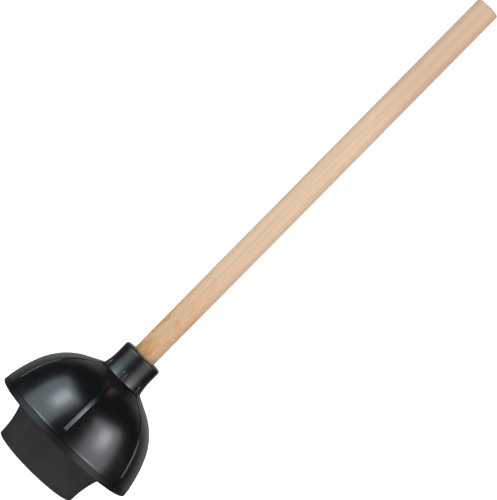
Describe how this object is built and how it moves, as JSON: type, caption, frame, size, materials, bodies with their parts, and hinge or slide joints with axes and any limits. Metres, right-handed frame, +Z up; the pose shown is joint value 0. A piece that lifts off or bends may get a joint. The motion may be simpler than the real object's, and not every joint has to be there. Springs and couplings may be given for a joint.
{
  "type": "toilet plunger",
  "caption": "Rubber force cup with a ribbed bell and a fold-in drain flange, screwed onto a straight wooden stick handle.",
  "frame": {"origin": "centre of the flange's flat bottom rim, on the surface that the plunger stands on", "axes": "+Z up along the stick, towards its free end; +X and +Y lie in the plane of the bottom rim"},
  "size_m": [0.155, 0.155, 0.5956],
  "materials": {
    "wood": "sanded bare pale hardwood, satin",
    "bell_rubber": "black moulded rubber, satin to gloss",
    "flange_rubber": "black moulded rubber, matt"
  },
  "bodies": {
    "bell": {"bell": "bell_rubber", "flange_web": "flange_rubber"},
    "collar": {"collar": "bell_rubber"},
    "handle_tip": {"handle_tip": "wood"},
    "handle": {"handle": "wood"},
    "flange": {"flange": "flange_rubber"}
  },
  "joints": [
    {"name": "plunge_stroke", "type": "slide", "parent": "bell", "child": "collar", "axis": [0, 0, -1], "range_m": [0, 0.03], "stiffness_N_per_m": 2500, "springref_m": -0.004, "deforming": ["bell"]},
    {"name": "handle_travel", "type": "slide", "parent": "collar", "child": "handle_tip", "axis": [0, 0, 1], "range_m": [0, 0.02794]},
    {"name": "handle_turn", "type": "hinge", "parent": "handle_tip", "child": "handle", "pos_m": [0, 0, 0.138], "axis": [0, 0, 1], "range_deg": [0, 1980]},
    {"name": "flange_tuck", "type": "slide", "parent": "bell", "child": "flange", "axis": [0, 0, 1], "range_m": [0, 0.0376], "deforming": ["flange_web"]}
  ],
  "couplings": [
    {"joint": "handle_turn", "follows": "handle_travel", "rad_per_m": 1236.8}
  ]
}
